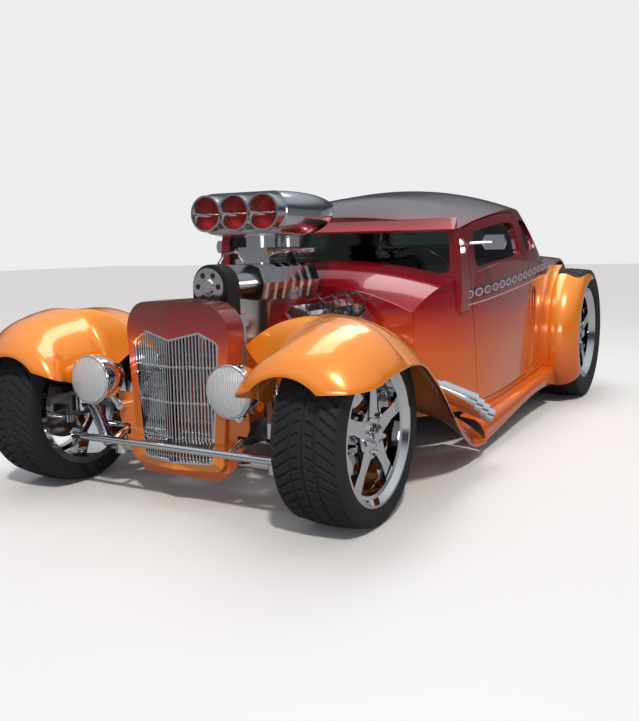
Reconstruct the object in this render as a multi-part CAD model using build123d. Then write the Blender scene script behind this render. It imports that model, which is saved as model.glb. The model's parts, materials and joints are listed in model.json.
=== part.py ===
from build123d import *
import os

# Hot rod coupe. Millimetres, +X to the car's left, +Y to the rear, +Z up, ground at Z = 0.
# Stations along the car are measured from the front axle while the model is built; the finished
# solids are moved forward by MIDDLE so that the origin lies under the middle of the car.

# Running gear
WHEELBASE = 2692
FRONT_TYRE_R = 318
REAR_TYRE_R = 385
FRONT_TYRE_WIDTH = 245
REAR_TYRE_WIDTH = 318
FRONT_RIM_R = 228.6
REAR_RIM_R = 254
FRONT_TRACK_X = 654
REAR_TRACK_X = 722
RIM_LIP = 15
FRONT_RIM_WIDTH = 236
REAR_RIM_WIDTH = 284
BEAD = 12.5
SPOKES = 5
KINGPIN_X = 572
STEER_ARM = 105
PIN_R = 12
PIN_BOSS = 60
SPINDLE_R = 18
AXLE_DROP_Z = 165
TIE_ROD_Z = 215
HUB_FRONT_X = 732
HUB_REAR_X = 812
DISC_FRONT_X = 676
DISC_REAR_X = 752
DISC_WIDTH = 22
DISC_R = 150

# Body
FIREWALL_Y = 890
SCREEN_Y = 1088
DOOR_FRONT_Y = 1235
DOOR_REAR_Y = 1930
CABIN_REAR_Y = 2476
TAIL_Y = 3270
WALL = 42
SCREEN_HALF = 638
ROOF_SKIN = 26
DOOR_GAP = 5
SILL_Z = 172
SILL_RISE = 0.056
BELT_FRONT_Z = 700
BELT_RISE = 0.084
ARCH_R = 430
TUB_X = 528

# Nose
SHELL_FRONT_Y = -78
SHELL_DEPTH = 92
SHELL_TOP_Z = 750
SHELL_CROWN = 14
SHELL_CORNER_R = 112
SHELL_BOTTOM_Z = 138
PROW = 52
APRON_SET = 6
SHELL_X = 239
SHELL_BOTTOM_X = 196
GRILLE = ((-160, 160), (160, 160), (194, 600), (120, 640), (0, 612), (-120, 640), (-194, 600))
BARS = 14
BAR_PITCH = 13
RAIL_X = 240
RAIL_WIDTH = 50
RAIL_FRONT_Y = -55
BAR_Y = -152
LAMP_X = 313
LAMP_Y = -205
LAMP_Z = 458
LAMP_R = 92

# Engine
CRANK_Z = 330
BLOWER_FRONT_Y = 262
BLOWER_REAR_Y = 760
SCOOP_FRONT_Y = 295
SCOOP_Z = 1066
PIPE_R = 25
TIP_R = 31.5
TIP_LENGTH = 150
TIP_SOCKET = 24
TIP_BORE_R = 28
BANK_ANGLE = 45
HEAD_TOP = 378
HEAD_OUT_X = 262
ENGINE_FRONT_Y = 340
ENGINE_REAR_Y = 870
GEARBOX_END_Y = 1380
GEARBOX_Z = 290
COVER_FRONT_Y = 359
COVER_REAR_Y = 838
DRIVE_FRONT_Y = 128
DRIVE_REAR_Y = 209
DRIVE_Z = 786
CARBS = (496, 700)
CARB_TOP_Z = 970
BLOWER_TOP_Z = 862
SCOOP_REAR_Y = 912
MOUTH_PITCH = 136
MOUTH_R = 73

FENDER_SKIN = 7
FENDER_OUTER_X = 872
FENDER_END_Y = 1064
REAR_FENDER_X = 893
CLEAR = 0.3
HINGE_LEAN = 0.133
DOOR_BEVEL = 14
DOOR_SWING = 9
LID_X = 430
LID_FRONT_Y = 2645
LID_REAR_Y = 3050
LID_BEVEL = 20
LID_HINGE_X = 300
LID_HINGE_Y = LID_FRONT_Y - 6
LID_HINGE_Z = 884
LID_PIN_R = 4
QUARTER_X = TUB_X
SILL_STRIP = 24
ARCH_END_Z = 150
FLOOR_Z = 205
BOOT_Z = 540
FILLER_Y = 2590
LAMP_REAR_X = 420
WHEEL_X = 330
TUNNEL_R = 56

FENDER_FRONT_Y = -330
TAIL_LAMP_DEPTH = 16
MIDDLE = (FENDER_FRONT_Y + TAIL_Y + TAIL_LAMP_DEPTH) / 2


def side(x):
    """A sketch plane across the car: its x runs to the rear and its y up."""
    return Plane(origin=(x, 0, 0), x_dir=(0, 1, 0), z_dir=(1, 0, 0))


def across(y):
    """A sketch plane at station y: its x runs to the car's left and its y up."""
    return Plane(origin=(0, y, 0), x_dir=(1, 0, 0), z_dir=(0, -1, 0))


def box(x0, x1, y0, y1, z0, z1):
    centre = ((x0 + x1) / 2, (y0 + y1) / 2, (z0 + z1) / 2)
    return Pos(*centre) * Box(x1 - x0, y1 - y0, z1 - z0)


def slab(points, x0, x1):
    """A flat outline in the side view, extruded from x0 to x1."""
    return extrude(side(x0) * make_face(Polyline(*points, close=True)), x1 - x0)


def rod(start, end, radius):
    """A round bar between two points."""
    a, b = Vector(*start), Vector(*end)
    axis = Plane(origin=a, z_dir=(b - a))
    return extrude(axis * Circle(radius), (b - a).length)


def pipe(points, radii, radius):
    """A round tube along straight runs joined by arcs."""
    path = FilletPolyline(*points, radius=radii)
    return sweep(Plane(origin=points[0], z_dir=path % 0) * Circle(radius), path=path)


def mirrored(shape):
    return mirror(shape, about=Plane.YZ)


def pair(shape):
    return Compound(children=[shape, mirrored(shape)])


def group(*shapes):
    return Compound(children=[s for shape in shapes for s in shape.solids()])


def sill_z(y):
    return SILL_Z + SILL_RISE * max(0, y - DOOR_FRONT_Y)


def belt_z(y):
    return BELT_FRONT_Z + BELT_RISE * (y - DOOR_FRONT_Y)


# The body's outside, station by station:
# (y, half width at the sill, half width at the belt, belt edge height, height on the centre line)
HULL = (
    (FIREWALL_Y, 486, 505, 640, 754),
    (SCREEN_Y, 608, 626, 772, 858),
    (DOOR_FRONT_Y + 20, 668, 670, 800, 868),
    (DOOR_REAR_Y, 708, 716, 830, 885),
    (CABIN_REAR_Y, 708, 706, 824, 889),
    (2830, 690, 686, 800, 842),
    (3090, 672, 664, 585, 686),
    (TAIL_Y, 620, 596, 400, 452),
)
HULL_INNER_END = (TAIL_Y - 30, 624, 604, 470, 540)

# The cabin above the belt: (y, half width at the foot, half width at the drip, drip height, crown)
CABIN = (
    (SCREEN_Y, 652, 634, 996, 1062),
    (1190, 662, 631, 1014, 1104),
    (1300, 672, 628, 1032, 1140),
    (1520, 690, 627, 1064, 1181),
    (1750, 706, 624, 1092, 1208),
    (2050, 712, 608, 1106, 1218),
    (2280, 700, 574, 1050, 1158),
    (2410, 680, 546, 960, 1074),
    (CABIN_REAR_Y, 660, 520, 860, 940),
)


def hull_section(row, inset):
    y, sill, belt, edge, crown = row
    sill, belt, edge, crown = sill - inset, belt - inset, edge - inset, crown - inset
    bottom = sill_z(y) - (20 if inset > 0 else 0)
    middle = (bottom + edge) / 2
    bulge = max(sill, belt) + 9
    right = ThreePointArc((sill, bottom), (bulge, middle), (belt, edge))
    top = ThreePointArc((belt, edge), (0, crown), (-belt, edge))
    left = ThreePointArc((-belt, edge), (-bulge, middle), (-sill, bottom))
    base = Line((-sill, bottom), (sill, bottom))
    return across(y) * make_face(right + top + left + base)


def hull(rows, inset):
    return loft([hull_section(row, inset) for row in rows])


def cabin_section(row, wall, skin):
    y, foot, drip, edge, crown = row
    foot, drip, edge, crown = foot - wall, drip - wall, edge - skin, crown - skin
    low = belt_z(y) - 60
    knee = 0.55 * (edge - low) + low
    swell = foot - 0.38 * (foot - drip) + 8
    right = ThreePointArc((foot, low), (swell, knee), (drip, edge))
    top = ThreePointArc((drip, edge), (0, crown), (-drip, edge))
    left = ThreePointArc((-drip, edge), (-swell, knee), (-foot, low))
    base = Line((-foot, low), (foot, low))
    return across(y) * make_face(right + top + left + base)


def cabin(wall, skin, front=0, rear=0):
    first = (CABIN[0][0] + front,) + CABIN[0][1:]
    last = (CABIN[-1][0] - rear,) + CABIN[-1][1:]
    rows = (first,) + CABIN[1:-1] + (last,)
    return loft([cabin_section(row, wall, skin) for row in rows])


def hinge_y(z):
    """The door hinge pins' line, which leans forward towards the top."""
    return DOOR_FRONT_Y + 27 - HINGE_LEAN * (z - 180)


def door_outline(gap):
    """The door in the side view, with its edges moved in by a gap."""
    rear = DOOR_REAR_Y - gap
    foot_z = sill_z(hinge_y(0)) + SILL_STRIP + gap
    heel_z = sill_z(DOOR_REAR_Y) + SILL_STRIP + gap
    return (
        (hinge_y(foot_z) + gap, foot_z),
        (hinge_y(1000) + gap, 1000 - gap),
        (1300, 1030 - gap),
        (1620, 1070 - gap),
        (rear - 50, 1088 - gap),
        (rear - 4, 1040),
        (rear + 14, heel_z),
    )


def window_cut(points, radius, shrink=0.0):
    x0, x1 = 300, 900
    face = make_face(Polyline(*points, close=True))
    face = fillet(face.vertices(), radius)
    face = offset(face, -shrink) if shrink else face
    return extrude(side(x0) * face, x1 - x0)


DOOR_WINDOW = ((1240, 822), (1850, 868), (1850, 1026), (1700, 1032), (1262, 984))
QUARTER_WINDOW = ((1962, 884), (2196, 902), (2226, 960), (2190, 1040), (1962, 1052))
SCREEN_OPENING = ((-600, 800), (600, 800), (592, 984), (-592, 984))
REAR_OPENING = ((-330, 925), (330, 925), (300, 1030), (-300, 1030))
ROOF_LINE = (
    (1000, 992), (1174, 1016), (1308, 1040), (1620, 1078), (1890, 1096), (2055, 1096),
    (2214, 1078), (2330, 1040), (2500, 1040), (2500, 1400), (1000, 1400),
)


def on_axle(shape):
    return Pos(0, WHEELBASE, REAR_TYRE_R) * shape


def drum(radius, x0, x1):
    """A cylinder across the car about the X axis."""
    return Pos((x0 + x1) / 2, 0, 0) * Rot(0, 90, 0) * Cylinder(radius, x1 - x0)


def arch_void():
    round_part = on_axle(drum(ARCH_R, TUB_X, 900))
    behind = box(TUB_X, 900, WHEELBASE, TAIL_Y + 10, 100, REAR_TYRE_R + ARCH_END_Z)
    return round_part + behind


def face_at_y(points, y0, y1, radius=0.0, shrink=0.0):
    """An outline in the front view, extruded from station y0 to y1."""
    face = make_face(Polyline(*points, close=True))
    if radius:
        face = fillet(face.vertices(), radius)
    face = offset(face, -shrink) if shrink else face
    return extrude(across(y0) * face, -(y1 - y0))


def lid_lug(x):
    """A hinge lug that stands on the deck ahead of the lid."""
    y, z = LID_HINGE_Y, LID_HINGE_Z
    lug = rod((x - 6, y, z), (x + 6, y, z), 10) + box(x - 6, x + 6, y - 10, y + 4, z - 30, z)
    return lug - rod((x - 8, y, z), (x + 8, y, z), LID_PIN_R + CLEAR)


def lid_arm(x):
    """The lid's arm beside its lug, with the hinge pin."""
    y, z = LID_HINGE_Y, LID_HINGE_Z
    arm = rod((x + 8, y, z), (x + 18, y, z), 8) + box(x + 8, x + 18, y, y + 40, z - 6, z + 6)
    arm = arm + box(x + 8, x + 18, y + 14, y + 40, z - 30, z)
    return arm + rod((x - 8, y, z), (x + 10, y, z), LID_PIN_R)


def make_body():
    outside = hull(HULL, 0) + cabin(0, 0)
    hollow = hull(HULL[:-1] + (HULL_INNER_END,), WALL) + cabin(WALL, ROOF_SKIN, 34, WALL)
    shell = outside - hollow
    void = arch_void()
    shell = shell - void - mirrored(void)
    screen = face_at_y(SCREEN_OPENING, SCREEN_Y - 50, SCREEN_Y + 60, 30) - hull(HULL, 0)
    rear_hole = face_at_y(REAR_OPENING, 2380, 2560, 40)
    shell = shell - screen - rear_hole
    door_hole = slab(door_outline(-DOOR_GAP / 2), 300, 900)
    door = shell & slab(door_outline(DOOR_GAP / 2), 300, 900)
    bevel = Pos(760, DOOR_REAR_Y - DOOR_GAP / 2, 600) * Rot(0, 0, -DOOR_BEVEL) * box(
        -500, 40, 0, 200, -600, 600
    )
    door = door - bevel - window_cut(DOOR_WINDOW, 34)
    rest = shell - door_hole - mirrored(door_hole)
    top = slab(ROOF_LINE, -800, 800) + box(-TUB_X, TUB_X, 1130, 2200, 960, 1400)
    roof = rest & top
    rest = rest - top
    visor = slab(((1092, 1044), (1054, 994), (1058, 986), (1092, 1002)), -630, 630)
    roof = roof + (visor - outside)
    cowl = rest & box(-900, 900, 800, 1500, 0, 1300)
    rear = rest - box(-900, 900, 800, 1500, 0, 1300)
    rear = rear - window_cut(QUARTER_WINDOW, 40) - mirrored(window_cut(QUARTER_WINDOW, 40))
    lid_space = box(-LID_X, LID_X, LID_FRONT_Y, LID_REAR_Y, 600, 1000)
    lid = rear & box(-LID_X + 5, LID_X - 5, LID_FRONT_Y + 5, LID_REAR_Y - 5, 600, 1000)
    lid_bevel = Pos(0, LID_REAR_Y - 5, 735) * Rot(-LID_BEVEL, 0, 0) * box(-500, 500, 0, 200, -300, 60)
    lid = lid - lid_bevel
    middle = box(-QUARTER_X, QUARTER_X, 1500, 3400, 0, 1300)
    tail = (rear & middle) - lid_space
    for x in (-LID_HINGE_X, LID_HINGE_X):
        tail = tail + lid_lug(x)
        lid = lid + lid_arm(x)
    quarters = rear - middle
    return outside, hollow, dict(cowl=cowl, roof=roof, tail_panel=tail, quarter_panels=quarters,
                                 deck_lid=lid, door_left=door, door_right=mirrored(door))


def make_glass():
    layer = cabin(16, 12) - cabin(21, 17)
    door_pane = layer & window_cut(DOOR_WINDOW, 34, CLEAR)
    quarter_pane = layer & window_cut(QUARTER_WINDOW, 40, CLEAR)
    screen = face_at_y(SCREEN_OPENING, SCREEN_Y + 14, SCREEN_Y + 19, 30, CLEAR) - hull(HULL, -CLEAR)
    rear_layer = cabin(14, 10, 0, 14) - cabin(19, 15, 0, 19)
    rear = rear_layer & face_at_y(REAR_OPENING, 2380, 2560, 40, CLEAR)
    fixed = group(screen, rear, quarter_pane, mirrored(quarter_pane))
    return dict(window_glass=fixed, door_glass_left=door_pane, door_glass_right=mirrored(door_pane))


def make_floor(hollow):
    firewall = extrude(hull_section(HULL[0], 0), 14)
    slope = ((FIREWALL_Y + CLEAR, 330), (1120, FLOOR_Z + 12), (2250, FLOOR_Z + 12), (2250, FLOOR_Z),
             (1115, FLOOR_Z), (FIREWALL_Y + CLEAR, 318))
    pan = slab(slope, -700, 700) & hollow
    beside_doors = pan & box(-700, 700, DOOR_FRONT_Y, DOOR_REAR_Y, 0, 400)
    narrowed = hull(HULL[:-1] + (HULL_INNER_END,), WALL + DOOR_SWING)
    pan = (pan - beside_doors) + (beside_doors & narrowed)
    step = slab(((2238, FLOOR_Z + 12), (2250, FLOOR_Z + 12), (2250, BOOT_Z), (2238, BOOT_Z)), -700, 700)
    boot = box(-700, 700, 2238, TAIL_Y - 60, BOOT_Z, BOOT_Z + 12)
    inner = (step + boot) & hollow
    void = on_axle(drum(ARCH_R, TUB_X, 900))
    tub = on_axle(drum(ARCH_R + 5, TUB_X - 5, 900)) - void
    tub = (tub & hollow) - box(0, 900, 2000, 3400, 0, 300)
    tub = tub - box(TUB_X, 900, WHEELBASE, 3400, 0, REAR_TYRE_R + ARCH_END_Z)
    tail_wall = box(TUB_X - 5, TUB_X, WHEELBASE + 300, TAIL_Y - 30, 300, BOOT_Z + 12) & hollow
    tub = tub + tail_wall
    inner = inner - on_axle(drum(ARCH_R + 5, TUB_X - 5, 900)) - mirrored(
        on_axle(drum(ARCH_R + 5, TUB_X - 5, 900)))
    return dict(firewall=firewall, floor_pan=pan + inner + tub + mirrored(tub))


# Front fender skin: (y, inner x, inner z, crown x, crown z, outer x, lip z)
FRONT_FENDER = (
    (FENDER_FRONT_Y, 480, 500, 600, 552, 720, 504),
    (-290, 400, 470, 605, 602, 806, 506),
    (-210, 422, 450, 600, 652, 856, 514),
    (-130, 414, 420, 596, 680, 866, 534),
    (-80, 402, 430, 590, 690, FENDER_OUTER_X, 544),
    (-28, 378, 470, 575, 696, FENDER_OUTER_X, 549),
    (0, 252, 575, 562, 698, FENDER_OUTER_X, 551),
    (30, 252, 590, 560, 699, FENDER_OUTER_X, 553),
    (130, 262, 590, 565, 694, FENDER_OUTER_X, 536),
    (240, 320, 530, 578, 652, 869, 468),
    (340, 352, 450, 588, 572, 863, 396),
    (450, 368, 370, 596, 462, 852, 314),
    (570, 380, 300, 600, 352, 838, 226),
    (700, 388, 250, 604, 264, 820, 152),
    (860, 396, 214, 608, 204, 802, 92),
    (FENDER_END_Y, 404, 190, 612, 168, 784, 62),
)


def skin_section(row, skin):
    y, xi, zi, xc, zc, xo, zo = row
    outer = ThreePointArc((xi, zi), (xc, zc), (xo, zo))
    right = Line((xo, zo), (xo, zo - skin))
    inner = ThreePointArc((xo, zo - skin), (xc, zc - skin), (xi, zi - skin))
    left = Line((xi, zi - skin), (xi, zi))
    return across(y) * Face(Wire([outer, right, inner, left]))


def make_front_fender():
    skin = loft([skin_section(row, FENDER_SKIN) for row in FRONT_FENDER], ruled=True)
    front = FIREWALL_Y - 17
    inner_edge = ((0, 300), (340, 300), (392, 600), (440, front), (516, front),
                  (SCREEN_HALF, SCREEN_Y), (SCREEN_HALF + 4, 1200), (0, 1200))
    return skin - extrude(make_face(Polyline(*inner_edge, close=True)), 900)


# Running board valance: (y, bottom edge height); its top follows the body's sill
BOARD = ((FENDER_END_Y + CLEAR, 62), (1400, 98), (1700, 132), (2000, 148), (2300, 126))


def board_section(row):
    """A flat ledge under the sill that rolls over and down to the bottom edge."""
    y, low = row
    top = sill_z(y) - 2
    x0, x1 = 660 + 0.035 * (y - BOARD[0][0]), 780
    ledge = Polyline((x0, top - 7), (x0, top), (x0 + 62, top - 8))
    roll = ThreePointArc((x0 + 62, top - 8), (x1 - 8, (top + low) / 2 + 8), (x1, low))
    back = ThreePointArc((x1 - 7, low), (x1 - 16, (top + low) / 2 + 4), (x0 + 60, top - 15))
    return across(y) * make_face(ledge + roll + Line((x1, low), (x1 - 7, low)) + back
                                 + Line((x0 + 60, top - 15), (x0, top - 7)))


def make_running_board():
    board = loft([board_section(row) for row in BOARD])
    return board - on_axle(drum(ARCH_R + 3, 500, 900))


def make_rear_fender():
    r0 = ARCH_R - CLEAR
    outer = Polyline((690, r0), (738, r0))
    curve = ThreePointArc((738, r0), (862, 396), (REAR_FENDER_X, 320))
    lip = Line((REAR_FENDER_X, 320), (REAR_FENDER_X - 6, 320))
    inside = ThreePointArc((REAR_FENDER_X - 6, 320), (855, 391), (738, r0 - 7))
    root = Polyline((738, r0 - 7), (690, r0 - 7), (690, r0))
    face = make_face(outer + curve + lip + inside + root)
    start, sweep_angle = 76, 143
    # The profile lies above the axle, and turns about it from behind the top to the front foot.
    turned = revolve(Plane.XY * face, Axis.X, sweep_angle)
    turned = Rot(start, 0, 0) * turned
    fender = on_axle(turned)
    scallop = (
        (2452, 728), (2494, 719), (2537, 728), (2623, 740), (2685, 732), (2723, 710), (2762, 679),
        (2840, 700), (2840, 900), (2480, 900), (2440, 860),
    )
    return fender - slab(scallop, 745, 950) - slab(
        ((2560, 600), (2900, 600), (2900, 900), (2560, 900)), 600, 745)


def make_shell():
    outline = ((-SHELL_BOTTOM_X, SHELL_BOTTOM_Z), (SHELL_BOTTOM_X, SHELL_BOTTOM_Z),
               (SHELL_X, SHELL_TOP_Z - SHELL_CROWN), (0, SHELL_TOP_Z), (-SHELL_X, SHELL_TOP_Z - SHELL_CROWN))
    face = make_face(Polyline(*outline, close=True))
    face = fillet(face.vertices().sort_by(Axis.Y)[:2], 34)
    face = fillet([v for v in face.vertices() if v.Y > 700 and abs(v.X) > 200], SHELL_CORNER_R)
    solid = extrude(across(SHELL_FRONT_Y - PROW) * face, -(SHELL_DEPTH + PROW))
    wedge = extrude(make_face(Polyline((-260, SHELL_FRONT_Y), (0, SHELL_FRONT_Y - PROW),
                                       (260, SHELL_FRONT_Y), (260, 200), (-260, 200), close=True)), 900)
    solid = solid & wedge
    hole = fillet(make_face(Polyline(*GRILLE, close=True)).vertices(), 26)
    core = offset(face, -14)
    notch = box(-300, 300, -32, 60, 100, AXLE_DROP_Z + 32)
    return solid - extrude(across(-300) * hole, -600) - extrude(
        across(SHELL_FRONT_Y + 16) * core, -300) - notch


def prow_slab(depth, margin):
    """A V plate in the plan view that follows the prow."""
    y = SHELL_FRONT_Y + margin
    plan = Polyline((-260, y), (0, y - PROW), (260, y), (260, y + depth), (0, y - PROW + depth),
                    (-260, y + depth), close=True)
    return extrude(make_face(plan), 900)


def make_grille():
    hole = fillet(make_face(Polyline(*GRILLE, close=True)).vertices(), 26)
    insert = offset(hole, -CLEAR)
    frame_face = insert - offset(insert, -7)
    frame = extrude(across(-300) * frame_face, -600) & prow_slab(20, 2)
    bars = []
    for k in range(-BARS, BARS + 1):
        bars.append(box(k * BAR_PITCH - 2, k * BAR_PITCH + 2, -200, 40, 100, 700))
    field = extrude(across(-300) * insert, -600) & prow_slab(14, 5)
    vertical = Compound(children=bars) & field
    rails = Compound(children=[box(-250, 250, -200, 40, z - 3, z + 3) for z in (250, 380, 510)])
    rails = rails & (extrude(across(-300) * insert, -600) & prow_slab(6, 15))
    shape = frame
    for piece in vertical.solids() + rails.solids():
        shape = shape + piece
    return shape


def make_headlight():
    r = LAMP_R
    outline = Polyline((0, 0), (r - 6, 0), (r - 6, 4), (r, 4), (r, 20))
    back = ThreePointArc((r, 20), (r * 0.72, 110), (0, 172))
    bucket = revolve(Plane.XZ * make_face(outline + back + Line((0, 172), (0, 0))), Axis.Z, 360)
    bucket = Pos(LAMP_X, LAMP_Y, LAMP_Z) * Rot(-90, 0, 0) * bucket
    knee = (LAMP_X - 38, SHELL_FRONT_Y - 22, LAMP_Z - 108)
    post = rod((LAMP_X - 10, LAMP_Y + 85, LAMP_Z - 60), knee, 12)
    foot = rod(knee, (knee[0], SHELL_FRONT_Y + APRON_SET - CLEAR, knee[2]), 20)
    return bucket + post + foot


def make_lens():
    """A shallow dome cut from a sphere, set in the lamp's rim."""
    r, rise = LAMP_R - 8, 15
    ball = (r * r + rise * rise) / (2 * rise)
    dome = Pos(0, ball - 20, 0) * Sphere(ball)
    disc = rod((0, -30, 0), (0, -CLEAR, 0), r)
    return Pos(LAMP_X, LAMP_Y, LAMP_Z) * (dome & disc)


def make_radiator():
    y0 = SHELL_FRONT_Y + SHELL_DEPTH + CLEAR
    core = box(-205, 205, y0 + 6, y0 + 50, 240, 650)
    tank = box(-212, 212, y0, y0 + 56, 650, 694)
    foot = box(-212, 212, y0, y0 + 56, 200, 240)
    reach = RAIL_X - CLEAR
    return core + tank + foot + box(-reach, reach, y0 + 10, y0 + 44, 262, 290)


def make_apron():
    front = SHELL_FRONT_Y + APRON_SET
    outline = ((-168, 98), (168, 98), (236, 150), (300, 300), (300, 396), (220.2, 396), (196.4, 137.7),
               (-196.4, 137.7), (-220.2, 396), (-300, 396), (-300, 300), (-236, 150))
    plate = face_at_y(outline, front, front + 7)
    notch = box(RAIL_X + 8, RAIL_X + 60, front - 10, front + 20, 232, 274)
    return plate - notch - mirrored(notch)


def make_frame():
    outline = (
        (RAIL_FRONT_Y, 240), (800, 240), (960, 122), (2150, 122), (2380, 440), (3000, 440), (3150, 380),
        (3150, 440), (2980, 520), (2350, 520), (2110, FLOOR_Z - CLEAR), (980, FLOOR_Z - CLEAR), (840, 322), (RAIL_FRONT_Y, 322),
    )
    rail = slab(outline, RAIL_X, RAIL_X + RAIL_WIDTH)
    frame = rail + mirrored(rail)
    for y, z, r in ((92, 300, 18), (1180, 162, 24), (2080, 162, 24), (3060, 440, 24)):
        frame = frame + rod((-RAIL_X - 10, y, z), (RAIL_X + 10, y, z), r)
    return frame


def make_front_axle():
    z0, z1 = AXLE_DROP_Z, FRONT_TYRE_R
    boss_r = PIN_R + 14
    end = KINGPIN_X - boss_r + 4
    path = ((-end, 0, z1), (45 - end, 0, z1), (115 - end, 0, z0), (end - 115, 0, z0), (end - 45, 0, z1),
            (end, 0, z1))
    tube = pipe(path, 30, 25)
    boss = Pos(KINGPIN_X, 0, z1) * Cylinder(boss_r, PIN_BOSS)
    bore = Pos(KINGPIN_X, 0, z1) * Cylinder(PIN_R + CLEAR, PIN_BOSS + 2)
    axle = tube + boss + mirrored(boss)
    axle = axle - bore - mirrored(bore)
    for x in (-360, 360):
        axle = axle + (Pos(x, 0, z0) * Cylinder(30, 60))
    return axle


def make_front_shocks():
    low, high = Vector(400, 50, AXLE_DROP_Z + 6), Vector(RAIL_X + RAIL_WIDTH + 26, 62, 470)
    body_low, body_high = low + (high - low) * 0.3, low + (high - low) * 0.8
    shock = rod(low, high, 12) + rod(body_low, body_high, 27)
    eye = rod((400, 25 + CLEAR, AXLE_DROP_Z + 6), (400, 66, AXLE_DROP_Z + 6), 14)
    hoop = box(RAIL_X + RAIL_WIDTH, RAIL_X + RAIL_WIDTH + 12, 40, 84, 240, 490)
    top = rod((RAIL_X + RAIL_WIDTH + 6, 62, 468), (RAIL_X + RAIL_WIDTH + 40, 62, 468), 14)
    radius_rod = rod((360, 32, AXLE_DROP_Z), (RAIL_X + RAIL_WIDTH + 16, 640, 262), 12)
    foot = rod((RAIL_X + RAIL_WIDTH, 640, 262), (RAIL_X + RAIL_WIDTH + 32, 640, 262), 16)
    left = (shock + eye + hoop + top, radius_rod + foot)
    return group(*left, *[mirrored(piece) for piece in left])


def make_knuckle():
    z = FRONT_TYRE_R
    half = PIN_BOSS / 2 + 1
    fork = box(KINGPIN_X - 16, KINGPIN_X + 44, -22, 22, z + half, z + half + 16)
    fork = fork + box(KINGPIN_X - 16, KINGPIN_X + 44, -22, 22, z - half - 16, z - half)
    web = box(KINGPIN_X + 30, KINGPIN_X + 46, -26, 26, z - half - 16, z + half + 16)
    pin = Pos(KINGPIN_X, 0, z) * Cylinder(PIN_R, 2 * half + 20)
    spindle = Pos(0, 0, z) * drum(SPINDLE_R, KINGPIN_X + 40, HUB_FRONT_X - 34)
    arm = box(KINGPIN_X - 16, KINGPIN_X + 16, 0, STEER_ARM, z - half - 16, z - half)
    boss = rod((KINGPIN_X, STEER_ARM, TIE_ROD_Z + 16), (KINGPIN_X, STEER_ARM, z - half), 18)
    hole = rod((KINGPIN_X, STEER_ARM, TIE_ROD_Z), (KINGPIN_X, STEER_ARM, z), 8 + CLEAR)
    bracket = box(KINGPIN_X + 34, KINGPIN_X + 46, -150, -20, z + 10, z + 44)
    caliper = make_caliper(DISC_FRONT_X, KINGPIN_X + 46)
    caliper = Pos(0, 0, z) * Rot(-20, 0, 0) * caliper
    return fork + web + pin + spindle + bracket + caliper + (arm + boss - hole)


def make_caliper(disc_x, mount_x):
    """A caliper ahead of the hub, straddling its disc with a running gap."""
    gap = DISC_WIDTH / 2 + 4
    body = box(disc_x - gap - 20, disc_x + gap + 14, -DISC_R - 26, -DISC_R + 34, -52, 52)
    slot = box(disc_x - gap, disc_x + gap, -DISC_R - 6, 0, -60, 60)
    ear = box(mount_x - 10, disc_x - gap - 2, -DISC_R + 2, -DISC_R + 30, -30, 30)
    return body - slot + ear


def make_tie_rod():
    """The tie rod, whose two pins stand up into the steering arms."""
    top = FRONT_TYRE_R - PIN_BOSS / 2 - 1
    bar = rod((-KINGPIN_X, STEER_ARM, TIE_ROD_Z), (KINGPIN_X, STEER_ARM, TIE_ROD_Z), 11)
    for x in (-KINGPIN_X, KINGPIN_X):
        bar = bar + Pos(x, STEER_ARM, TIE_ROD_Z) * Cylinder(17, 30)
        bar = bar + rod((x, STEER_ARM, TIE_ROD_Z), (x, STEER_ARM, top), 8)
    return bar


def tyre(radius, rim, width, seat):
    """A tyre about the X axis, centred on its tread, with its beads at plus and minus seat."""
    half, tread = width / 2, width / 2 - 20
    bead = rim + RIM_LIP + 1
    waist = rim + 0.5 * (radius - rim)
    right = ThreePointArc((seat, bead), (half, waist), (tread, radius - 9))
    top = ThreePointArc((tread, radius - 9), (0, radius), (-tread, radius - 9))
    left = ThreePointArc((-tread, radius - 9), (-half, waist), (-seat, bead))
    base = Polyline((-seat, bead), (-seat, rim + CLEAR), (seat, rim + CLEAR), (seat, bead))
    return revolve(make_face(right + top + left + base), Axis.X, 360)


def wheel(rim, face_x, width, hub_x, disc_x):
    """A deep wheel with tapering spokes, its hub and its brake disc, about the X axis."""
    x0, x1 = face_x - width, face_x
    barrel = Polyline((x0, rim - 9), (x0, rim + RIM_LIP), (x0 + 7, rim + RIM_LIP), (x0 + 12, rim),
                      (x1 - 12, rim), (x1 - 7, rim + RIM_LIP), (x1, rim + RIM_LIP),
                      (x1, rim + RIM_LIP - 9), (x1 - 20, rim - 9), (hub_x + 16, rim - 22),
                      (hub_x - 12, rim - 22), (hub_x - 30, rim - 9), close=True)
    shape = revolve(make_face(barrel), Axis.X, 360)
    hub = Polyline((hub_x - 34, 0), (hub_x - 34, 62), (hub_x - 8, 62), (hub_x - 4, 86),
                   (hub_x + 8, 86), (hub_x + 12, 60), (hub_x + 14, 34), (hub_x + 30, 32),
                   (hub_x + 34, 0), close=True)
    shape = shape + revolve(make_face(hub), Axis.X, 360)
    outline = make_face(Polyline((-32, 50), (32, 50), (22, rim * 0.62), (30, rim - 16),
                                 (-30, rim - 16), (-22, rim * 0.62), close=True))
    spoke = extrude(side(hub_x - 12) * outline, 26)
    for k in range(SPOKES):
        shape = shape + Rot(360 / SPOKES * k, 0, 0) * spoke
    disc = drum(DISC_R, disc_x - DISC_WIDTH / 2, disc_x + DISC_WIDTH / 2)
    hat = drum(72, disc_x - DISC_WIDTH / 2, hub_x - 20)
    return shape + disc + hat - drum(SPINDLE_R + CLEAR, disc_x - 40, hub_x - 30)


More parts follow.
